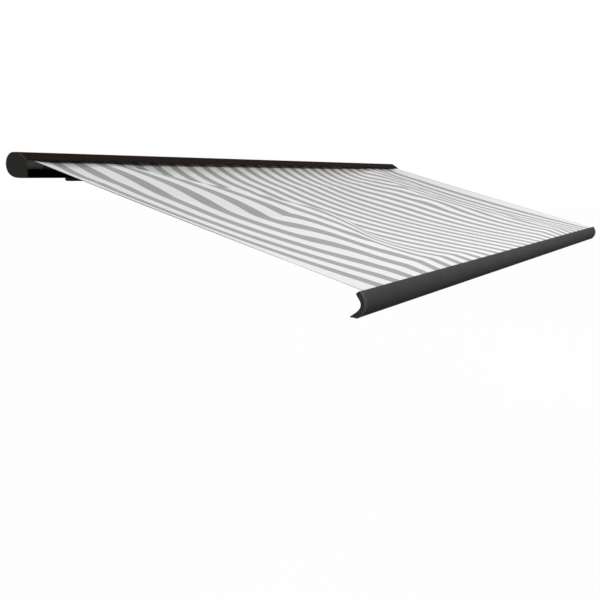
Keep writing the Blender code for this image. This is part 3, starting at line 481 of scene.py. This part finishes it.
LOOKS = {
    "cassette_paint": surface("cassette_paint", (0.0175, 0.0105, 0.0085), 0.80, specular=0.02),
    "anthracite_paint": surface("bar_paint", (0.080, 0.081, 0.079), 0.80, specular=0.02),
    "anthracite_plastic": surface("cap_plastic", (0.026, 0.026, 0.021), 0.55, specular=0.10, grain=450.0),
    "bar_cap_plastic": surface("bar_cap_plastic", (0.094, 0.094, 0.092), 0.70, specular=0.08, grain=450.0),
    # Castings darker than the bar's paint: partly their own dark paint, partly painted shade for the
    # shoulder foot that lies in shade under the cassette
    "painted_casting": surface(
        "casting", (0.016, 0.016, 0.015), 0.6, specular=0.08, grain=260.0, relief=0.00015
    ),
    # Bearing plates near-black in place of their zinc: painted shade for the dark inside of the cassette
    "plate_painted_shade": surface("plate_painted_shade", (0.010, 0.008, 0.007), 0.6, specular=0.05),
    "zinc_steel": surface(
        "zinc", (0.56, 0.56, 0.55), 0.36, metallic=1.0, grain=320.0, tint=0.14, spread=0.12
    ),
    "spring_steel": surface("spring", (0.30, 0.30, 0.31), 0.38, metallic=1.0, stretch=(0.1, 1.0, 1.0)),
    # Roller tube and motor dark in place of bright galvanised steel: painted shade for the dark inside of
    # the cassette
    "roller_steel": surface("tube", (0.045, 0.042, 0.040), 0.65, metallic=1.0, stretch=(0.05, 1.0, 1.0)),
    "motor_casing": surface("motor", (0.040, 0.038, 0.038), 0.6, metallic=0.8),
    "black_plastic": surface("inner_plastic", (0.012, 0.011, 0.010), 0.7, specular=0.08, grain=400.0),
    "black_webbing": surface("webbing", (0.015, 0.015, 0.015), 0.85, grain=1200.0, relief=0.0002),
    "awning_cloth": cloth("awning_cloth", (0.86, 0.86, 0.855), (0.385, 0.385, 0.38)),
    "white_piping": cloth("piping_cloth", (0.78, 0.78, 0.77), (0.46, 0.46, 0.46), striped=False),
}


# Cassette

def rear_centre():
    return section(CASSETTE_DEPTH - REAR_RADIUS, REAR_RADIUS)


def cover_path():
    slope_end = (FASCIA_BACK - FASCIA_ROUND, FASCIA_ROUND * FASCIA_ROUND_FALL)
    rise = (LIP_DROP - LIP_EDGE - slope_end[1]) / slope_end[0]
    corner = section(slope_end[0] + slope_end[1] / rise, 0.0)
    brow = bezier(section(*slope_end), corner, corner, section(FASCIA_BACK + BROW_END, 0.0), BROW_STEPS)
    rear = arc(rear_centre(), REAR_RADIUS, 90.0, COVER_JOINT_ANGLE, COVER_STEPS)
    return [section(0.0, LIP_DROP), section(0.0, LIP_DROP - LIP_EDGE)] + brow + rear


def shell_path():
    joint = COVER_JOINT_ANGLE - math.degrees(COVER_JOINT_GAP / REAR_RADIUS)
    rear = arc(rear_centre(), REAR_RADIUS, joint, 0.0, SHELL_STEPS)
    back = section(CASSETTE_DEPTH, REAR_RADIUS)
    pull_a = section(CASSETTE_DEPTH, REAR_PULL)
    pull_b = section(UNDER_PULL, FLOOR_DROP)
    under = bezier(back, pull_a, pull_b, section(FLOOR_BACK, FLOOR_DROP), UNDER_STEPS)
    nose = bezier(
        section(FLOOR_FRONT, FLOOR_DROP), section(NOSE_PULL, FLOOR_DROP),
        section(SILL_PULL[0], SILL_DROP + SILL_PULL[1]), section(0.0, SILL_DROP), NOSE_STEPS,
    )
    return rear[:-1] + under + nose


def make_cassette():
    """The top cover, the shell behind and below, and the two end caps."""
    paint = LOOKS["cassette_paint"]
    for name, path, node in (
        ("cassette_cover", cover_path(), "cassette_top_cover"),
        ("cassette_shell", shell_path(), "cassette_back_shell"),
    ):
        mesh = sweep(name, strip(path, CASSETTE_WALL), -COVER_HALF, COVER_HALF)
        profile = shape(name, mesh, paint, "cassette", [node])
        soften(profile, CASSETTE_EDGE)
    outline = cover_path() + shell_path()[1:]
    for side, word in ((-1, "left"), (1, "right")):
        mesh = sweep("cassette_cap_" + word, outline, side * (COVER_HALF + FIT), side * HALF_WIDTH)
        cap = shape(
            "cassette_cap_" + word, mesh, LOOKS["anthracite_plastic"], "cassette", ["end_cap_" + word],
        )
        soften(cap, CAP_EDGE, segments=CAP_EDGE_STEPS, angle=60.0)


# Front bar

def bar_circles():
    """The centres of the bar's outer and inner arcs."""
    chord = BAR_FOOT - BAR_TOP
    half = chord.length / 2
    reach = math.sqrt(BAR_OUTER_RADIUS ** 2 - half ** 2)
    outer = BAR_TOP + chord / 2 + Vector((-chord.y, chord.x)).normalized() * reach
    return outer, Vector((BAR_INNER_RADIUS, -BAR_INNER_DROP))


def bar_chains(inset=0.0):
    """The front face from the top edge down, and the hollow back from the foot up."""
    outer, inner = bar_circles()
    radius = BAR_OUTER_RADIUS - inset
    top = BAR_TOP - outer
    foot = BAR_FOOT - outer
    start = math.degrees(math.atan2(top.y, top.x)) + math.degrees(inset / radius)
    end = math.degrees(math.atan2(foot.y, foot.x)) + 360.0
    front = arc(outer, radius, start, end, BAR_STEPS)
    inner_radius = BAR_INNER_RADIUS + inset
    back = arc(inner, inner_radius, BAR_BOTTOM_ANGLE, BAR_TOP_ANGLE, BAR_STEPS)
    return front, back


def within(front, back, edge, inset):
    """Both chains, less the points that come too near to the other chain."""
    outer = bar_circles()[0]
    radius = BAR_OUTER_RADIUS - inset
    edge = [Vector(p) for p in edge]
    apart = abs(inset) + BAR_LEAST_GAP
    kept = [p for p in front if min((Vector(p) - q).length for q in edge) > apart]
    return kept + [p for p in back if (Vector(p) - outer).length < radius - BAR_LEAST_GAP]


def bar_hollow():
    """The outline of the room inside the bar's wall."""
    front, back = bar_chains(BAR_WALL)
    return bar_place(within(front, back, bar_chains()[1], BAR_WALL))


def cap_outline(inset=0.0):
    """The bar cap's outline, whose hollow side is straighter than the bar's own."""
    edge = bezier(*BAR_CAP_LOWER, BAR_CAP_STEPS)[:-1] + bezier(*BAR_CAP_UPPER, BAR_CAP_STEPS)
    front = bar_chains(inset - BAR_CAP_PROUD)[0]
    if not inset:
        return bar_place(front + edge)
    back = offset_path(edge, -inset)
    return bar_place(within(front, back, edge, inset))


def groove_frame():
    """The middle of the bar's slanting top face, the way along it, and into the bar."""
    front, back = bar_chains()
    way = (Vector(front[0]) - Vector(back[-1])).normalized()
    return (Vector(back[-1]) + Vector(front[0])) / 2, way, Vector((-way.y, way.x))


def groove_outline():
    middle, way, inward = groove_frame()
    half_mouth = GROOVE_MOUTH / 2
    half = GROOVE_WIDTH / 2
    left = [(-half_mouth, 0.0), (-half_mouth, GROOVE_LIP), (-half, GROOVE_LIP), (-half, GROOVE_DEPTH)]
    corners = left + [(-a, b) for a, b in left[::-1]]
    return [tuple(middle + way * a + inward * b) for a, b in corners]


def bar_place(points):
    return [(BAR_DEEPEST.y + p[0], BAR_DEEPEST.z + p[1]) for p in points]


def make_front_bar():
    """The hollow profile with its groove, and at each end a cap with a rim, a rib and a sleeve."""
    front, back = bar_chains()
    outline = bar_place(front + back + groove_outline())
    half = HALF_WIDTH - BAR_CAP_THICKNESS - FIT
    mesh = sweep("bar_profile", outline, -half, half, hole=bar_hollow())
    paint = LOOKS["anthracite_paint"]
    bar = shape("bar_profile", mesh, paint, "front_bar", ["front_bar"])
    soften(bar, BAR_EDGE)
    face = HALF_WIDTH - BAR_CAP_RECESS
    inside = HALF_WIDTH - BAR_CAP_THICKNESS
    sleeve = bar_place(strip(bar_chains(-FIT)[0], BAR_CAP_PROUD - FIT))
    for side, word in ((-1, "left"), (1, "right")):
        plate = sweep(
            "bar_cap_" + word, cap_outline(), side * inside, side * HALF_WIDTH,
            hole=cap_outline(BAR_CAP_RIM), floor=side * face,
        )
        rib = sweep("rib", cap_outline(BAR_CAP_RIB), side * face, side * (face + BAR_CAP_RIB_RISE))
        skirt = sweep("skirt", sleeve, side * (HALF_WIDTH - BAR_CAP_SLEEVE), side * inside)
        joined = bmesh.new()
        for mesh in (plate, rib, skirt):
            joined.from_mesh(mesh)
        joined.to_mesh(plate)
        joined.free()
        cap = shape(
            "bar_cap_" + word, plate, LOOKS["bar_cap_plastic"], "front_bar", ["front_bar_cap_" + word],
        )
        soften(cap, BAR_CAP_EDGE)


# Cloth

def mouth_point():
    middle, _, inward = groove_frame()
    y, z = bar_place([middle - inward * (FIT + CLOTH_THICKNESS / 2)])[0]
    return Vector((0.0, y, z))


FABRIC_START = ROLLER + UP * (TURNS_RADIUS + FIT + CLOTH_THICKNESS)
FABRIC_END = mouth_point()
FABRIC_LENGTH = (BAR_DEEPEST - FABRIC_START).dot(OUT)
SHOULDER = JOINTS["left_shoulder"]
ELBOW = JOINTS["left_elbow"]


def slope_place(point):
    """A point as (distance from the middle, distance out from the roller)."""
    return np.array([abs(point.x), (point - FABRIC_START).dot(OUT)])


def ridge_from_edge(t):
    """How far in from the cloth's side the ridge over the arm lies."""
    shoulder, elbow = slope_place(SHOULDER), slope_place(ELBOW)
    start = FABRIC_HALF - shoulder[0] - RIDGE_BEFORE_SHOULDER
    middle = FABRIC_HALF - elbow[0]
    end = FABRIC_HALF - shoulder[0] + RIDGE_PAST_WRIST
    peak = elbow[1] / FABRIC_LENGTH
    rising = start + (middle - start) * np.sin(np.clip(t / peak, 0, 1) * math.pi / 2)
    falling = middle + (end - middle) * (t - peak) / (1 - peak)
    return np.where(t < peak, rising, falling)


def hang_share(x, t):
    """The share of the full sag at a place: least at the sides and over the arms."""
    from_edge = FABRIC_HALF - np.abs(x)
    ridge = ridge_from_edge(t)
    rear = np.exp(-((t / REAR_REACH) ** 2))
    rise = np.exp(-(((t - ELBOW_RISE_AT) / ELBOW_RISE_REACH) ** 2))
    crest = RIDGE_SHARE + REAR_RIDGE_DROP * rear - ELBOW_RISE * rise
    place = np.clip(from_edge / ridge, 0, 1)
    dip = np.clip(np.sin(math.pi * place ** VALLEY_SKEW), 0, 1) ** VALLEY_POWER
    depth = VALLEY_SHARE - REAR_VALLEY_LESS * rear
    valley = EDGE_SHARE + (crest - EDGE_SHARE) * place + depth * dip
    width = np.where(x < 0, DROP_WIDTH_LEFT, DROP_WIDTH_RIGHT)
    drop = np.clip((from_edge - ridge) / width, 0, 1)
    belly = crest + (1 - crest) * drop * (4 - drop ** 3) / 3
    return np.where(from_edge < ridge, valley, belly)


def lift_at_bar(x, t):
    """How far the taut cloth stands above the straight line just before the bar."""
    across = np.exp(-(((FABRIC_HALF - np.abs(x) - BAR_LIFT_FROM_EDGE) / BAR_LIFT_WIDTH) ** 2))
    rise = np.clip((t - BAR_LIFT_START) / (BAR_LIFT_END - BAR_LIFT_START), 0, 1) ** 2
    fall = np.clip((1 - t) / (1 - BAR_LIFT_END), 0, 1)
    return BAR_LIFT * across * rise * fall


def from_link(x, out, start, end):
    """The distance of places from one link of an arm, in the slope's plane."""
    way = end - start
    along = np.clip(((x - start[0]) * way[0] + (out - start[1]) * way[1]) / way.dot(way), 0, 1)
    return np.hypot(x - start[0] - way[0] * along, out - start[1] - way[1] * along)


def room_over_arm(x, t):
    """How far the cloth can hang below the straight line before it lies on an arm."""
    line = FABRIC_END - FABRIC_START
    out = t * line.dot(OUT)
    shoulder, elbow, wrist = slope_place(SHOULDER), slope_place(ELBOW), slope_place(WRIST)
    away = np.minimum(
        from_link(np.abs(x), out, shoulder, elbow), from_link(np.abs(x), out, elbow, wrist)
    )
    under = ELBOW_PIN_TOP + CLOTH_THICKNESS + ARM_CLEARANCE
    height = (FABRIC_START - SHOULDER).dot(UP) + t * line.dot(UP)
    return (height - under) / UP.z + ARM_FALL * np.clip(away - ARM_SPREAD, 0, None) ** 2


def soft_least(a, b):
    """The lesser of two depths, rounded off where they meet and never more than either."""
    return np.minimum(a, b) - ARM_SOFTNESS * np.log1p(np.exp(-np.abs(a - b) / ARM_SOFTNESS))


def cloth_places(x, t):
    """Points of the cloth's top face, for arrays of places across and along it."""
    free = SAG * np.sin(math.pi * t ** SAG_SKEW) * hang_share(x, t)
    from_edge = np.clip((FABRIC_HALF - np.abs(x)) / MOUTH_FROM_EDGE, 0, 1)
    free = free + MOUTH_DROP * np.sin(math.pi * np.clip(t / MOUTH_REACH, 0, 1)) * from_edge
    hang = np.clip(soft_least(free, room_over_arm(x, t)), 0, None) * np.clip(free / ARM_SOFTNESS, 0, 1)
    y = FABRIC_START.y + (FABRIC_END.y - FABRIC_START.y) * t
    z = FABRIC_START.z + (FABRIC_END.z - FABRIC_START.z) * t - hang + lift_at_bar(x, t)
    return np.stack([x, y, z], axis=-1)


def leave_roller(first, radius):
    """Where a straight piece of cloth that ends at a point lets go of the roller."""
    away = first[..., 1:] - np.array([ROLLER.y, ROLLER.z])
    turn = np.arccos(radius / np.hypot(away[..., 0], away[..., 1]))
    angle = np.arctan2(away[..., 1], away[..., 0]) - turn
    spot = np.stack([ROLLER.y + np.cos(angle) * radius, ROLLER.z + np.sin(angle) * radius], axis=-1)
    return np.concatenate([first[..., :1], spot], axis=-1)


def closed_sheet(name, top, under):
    """A thin closed sheet between two grids of points."""
    rows, columns = top.shape[:2]
    points = np.concatenate([top.reshape(-1, 3), under.reshape(-1, 3)])
    index = np.arange(rows * columns).reshape(rows, columns)
    below = index + rows * columns
    a, b, c, d = index[:-1, :-1], index[:-1, 1:], index[1:, 1:], index[1:, :-1]
    faces = [np.stack([a, d, c, b], -1).reshape(-1, 4)]
    faces.append(np.stack([a, b, c, d], -1).reshape(-1, 4) + rows * columns)
    rim = np.concatenate([index[0, :-1], index[:-1, -1], index[-1, :0:-1], index[:0:-1, 0]])
    rim_below = np.concatenate([below[0, :-1], below[:-1, -1], below[-1, :0:-1], below[:0:-1, 0]])
    faces.append(np.stack([rim, np.roll(rim, -1), np.roll(rim_below, -1), rim_below], -1))
    mesh = bpy.data.meshes.new(name)
    mesh.from_pydata(points.tolist(), [], np.concatenate(faces).tolist())
    mesh.update()
    return mesh


def make_canopy():
    """The outstretched cloth: a short straight lead off the roller, then the hanging sheet."""
    along = np.linspace(FIRST_ROW, 1.0, CLOTH_ROWS + 1)
    across = np.linspace(-FABRIC_HALF, FABRIC_HALF, CLOTH_COLUMNS + 1)
    x, t = np.meshgrid(across, along)
    down = np.array(UP) * CLOTH_THICKNESS
    layers = []
    for layer in (0, 1):
        sheet = cloth_places(x, t) - down * layer
        off = leave_roller(sheet[0], TURNS_RADIUS + FIT + CLOTH_THICKNESS * (1 - layer))
        lead = [off + (sheet[0] - off) * k / LEAD_ROWS for k in range(LEAD_ROWS)]
        layers.append(np.concatenate([np.array(lead), sheet]))
    mesh = closed_sheet("canopy", *layers)
    woven = LOOKS["awning_cloth"]
    canopy = shape(
        "canopy", mesh, woven, "cassette", ["canopy_fabric"], sharp=SHEET_SHARP
    )
    hem_from = 1.0 - HEM_LENGTH / FABRIC_LENGTH
    hem_across = across * (1.0 - SIDE_HEM / FABRIC_HALF)
    x, t = np.meshgrid(hem_across, np.linspace(hem_from, HEM_END, HEM_ROWS + 1))
    hem_top = cloth_places(x, t) - np.array(UP) * (CLOTH_THICKNESS + HEM_BELOW)
    hem = closed_sheet("canopy_hem", hem_top, hem_top - down)
    hem = shape("canopy_hem", hem, woven, "front_bar", (), sharp=SHEET_SHARP)
    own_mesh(canopy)
    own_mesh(hem)


def make_turns():
    """The cloth that stays on the roller, wound in a few layers."""
    tube_radius = (TUBE_HIGH.z - TUBE_LOW.z) / 2
    outer = arc((ROLLER.y, ROLLER.z), TURNS_RADIUS, 0.0, 360.0, ROUND_STEPS)[:-1]
    inner = arc((ROLLER.y, ROLLER.z), tube_radius + FIT, 0.0, 360.0, ROUND_STEPS)[:-1]
    mesh = sweep("cloth_roll", outer, -FABRIC_HALF, FABRIC_HALF, hole=inner)
    shape("cloth_roll", mesh, LOOKS["awning_cloth"], "roller", ["fabric_turns"])


# The CAD parts that stay

def smoothing_group():
    """Joins the CAD's loose triangles and shades them smooth up to a sharp edge."""
    group = bpy.data.node_groups.new("smooth_shading", "GeometryNodeTree")
    group.interface.new_socket("Geometry", in_out="INPUT", socket_type="NodeSocketGeometry")
    group.interface.new_socket("Geometry", in_out="OUTPUT", socket_type="NodeSocketGeometry")
    start = group.nodes.new("NodeGroupInput")
    end = group.nodes.new("NodeGroupOutput")
    loose = {"Geometry": start.outputs[0], "Distance": MERGE_DISTANCE}
    merge = add(group, "GeometryNodeMergeByDistance", loose)
    whole = {0: merge.outputs[0], "Shade Smooth": True}
    smooth = add(group, "GeometryNodeSetShadeSmooth", whole, domain="FACE")
    angle = add(group, "GeometryNodeInputMeshEdgeAngle").outputs["Unsigned Angle"]
    sharp = add(group, "FunctionNodeCompare", {0: angle, 1: SHARP_ANGLE}, operation="GREATER_THAN")
    edges = {0: smooth.outputs[0], "Selection": sharp.outputs[0], "Shade Smooth": False}
    crisp = add(group, "GeometryNodeSetShadeSmooth", edges, domain="EDGE")
    group.links.new(crisp.outputs[0], end.inputs[0])
    return group


def dress_cad_parts():
    """The looks, smooth shading and soft edges of the CAD parts that are still shown."""
    group = smoothing_group()
    for name, item in NODES.items():
        if item.hide_render:
            continue
        looks = []
        for slot in item.material_slots:
            # Bearing plates take the near-black look, which is painted shade for the dark inside of the
            # cassette
            plate = name.startswith("bearing_plate")
            slot.material = LOOKS["plate_painted_shade" if plate else slot.material.name]
            looks.append(slot.material)
        modifier = item.modifiers.new("smooth_shading", "NODES")
        modifier.node_group = group
        if looks[-1] in (LOOKS["painted_casting"], LOOKS["anthracite_paint"]):
            soften(item, CASTING_EDGE)


# Room

def look_through_camera():
    """The camera's place, aim and frame, from the photograph's straight edges."""
    data = bpy.data.cameras.new("photo_camera")
    camera = bpy.data.objects.new("photo_camera", data)
    bpy.context.scene.collection.objects.link(camera)
    forward = Vector(
        (
            math.sin(CAMERA_YAW) * math.cos(CAMERA_PITCH),
            math.cos(CAMERA_YAW) * math.cos(CAMERA_PITCH),
            math.sin(CAMERA_PITCH),
        )
    )
    level = Vector((math.cos(CAMERA_YAW), -math.sin(CAMERA_YAW), 0.0))
    upright = level.cross(forward)
    right = level * math.cos(CAMERA_ROLL) + upright * math.sin(CAMERA_ROLL)
    up = upright * math.cos(CAMERA_ROLL) - level * math.sin(CAMERA_ROLL)
    turn = Matrix((right, up, -forward)).transposed()
    camera.matrix_world = Matrix.Translation(CAMERA_PLACE) @ turn.to_4x4()
    data.sensor_width = SENSOR
    data.lens = FOCAL_PIXELS / PHOTO_SIZE * SENSOR
    data.shift_x = (PHOTO_SIZE / 2 - AXIS_PIXEL[0]) / PHOTO_SIZE
    data.shift_y = (AXIS_PIXEL[1] - PHOTO_SIZE / 2) / PHOTO_SIZE
    data.clip_end = VIEW_END
    bpy.context.scene.camera = camera


def seen_directly(tree):
    """1 for rays that show the backdrop: from the camera, off a gloss or through glass."""
    rays = add(tree, "ShaderNodeLightPath").outputs
    either = calculate(tree, "MAXIMUM", rays["Is Camera Ray"], rays["Is Glossy Ray"])
    return calculate(tree, "MAXIMUM", either, rays["Is Transmission Ray"])


def make_floor():
    """The pale floor, plain white to the eye and dim where it lights the part."""
    bm = bmesh.new()
    bmesh.ops.create_grid(bm, x_segments=8, y_segments=8, size=FLOOR_SIZE)
    mesh = bpy.data.meshes.new("floor")
    bm.to_mesh(mesh)
    bm.free()
    floor = bpy.data.objects.new("floor", mesh)
    floor.location.z = FLOOR_Z
    bpy.context.scene.collection.objects.link(floor)
    material = bpy.data.materials.new("pale_floor")
    material.use_nodes = True
    tree = material.node_tree
    tree.nodes.clear()
    plain = add(tree, "ShaderNodeBsdfDiffuse", {"Color": (*[FLOOR_BOUNCE] * 3, 1.0)}).outputs[0]
    pale = add(tree, "ShaderNodeBsdfDiffuse", {"Color": (*[FLOOR_TONE] * 3, 1.0)}).outputs[0]
    white = add(tree, "ShaderNodeEmission", {"Strength": 1.0}).outputs[0]
    backdrop = add(tree, "ShaderNodeMixShader", {0: WHITE_SHARE, 1: pale, 2: white}).outputs[0]
    shown = add(tree, "ShaderNodeMixShader", {0: seen_directly(tree), 1: plain, 2: backdrop}).outputs[0]
    add(tree, "ShaderNodeOutputMaterial", {"Surface": shown})
    mesh.materials.append(material)


def make_sky():
    """A weak sky that is plain white where it is seen."""
    world = bpy.data.worlds.new("studio")
    bpy.context.scene.world = world
    world.use_nodes = True
    tree = world.node_tree
    tree.nodes.clear()
    way = add(tree, "ShaderNodeTexCoord").outputs["Generated"]
    height = add(tree, "ShaderNodeSeparateXYZ", {"Vector": way}).outputs["Z"]
    strength = ranged(tree, height, 0.0, SKY_FULL_HEIGHT, SKY_HORIZON, SKY_TOP)
    sky = add(tree, "ShaderNodeBackground", {"Strength": strength})
    white = add(tree, "ShaderNodeBackground", {"Color": (1.0, 1.0, 1.0, 1.0), "Strength": 1.0})
    sky.inputs["Color"].default_value = (1.0, 1.0, 1.0, 1.0)
    sides = {0: seen_directly(tree), 1: sky.outputs[0], 2: white.outputs[0]}
    shown = add(tree, "ShaderNodeMixShader", sides).outputs[0]
    add(tree, "ShaderNodeOutputWorld", {"Surface": shown})


def make_lamps():
    """A long softbox in front and above, and a wide soft sun from the wall side."""
    lamp_data = bpy.data.lights.new("long_softbox", "AREA")
    lamp_data.shape = "RECTANGLE"
    lamp_data.size = LAMP_LENGTH
    lamp_data.size_y = LAMP_DEPTH
    lamp_data.energy = LAMP_POWER
    lamp = bpy.data.objects.new("long_softbox", lamp_data)
    lamp.location = LAMP_PLACE
    lamp.rotation_euler = (LAMP_AIM - LAMP_PLACE).to_track_quat("-Z", "Y").to_euler()
    bpy.context.scene.collection.objects.link(lamp)
    sun_data = bpy.data.lights.new("soft_sun", "SUN")
    sun_data.energy = SUN_STRENGTH
    sun_data.angle = SUN_ANGLE
    sun = bpy.data.objects.new("soft_sun", sun_data)
    from_wall = Vector((-math.sin(SUN_TURN), math.cos(SUN_TURN), 0.0)) * math.cos(SUN_HEIGHT)
    sun_way = from_wall + Vector((0.0, 0.0, math.sin(SUN_HEIGHT)))
    sun.rotation_euler = sun_way.to_track_quat("Z", "Y").to_euler()
    bpy.context.scene.collection.objects.link(sun)


make_cassette()
make_front_bar()
make_turns()
make_canopy()
dress_cad_parts()
look_through_camera()
make_floor()
make_sky()
make_lamps()

bpy.context.scene.view_settings.view_transform = "Standard"
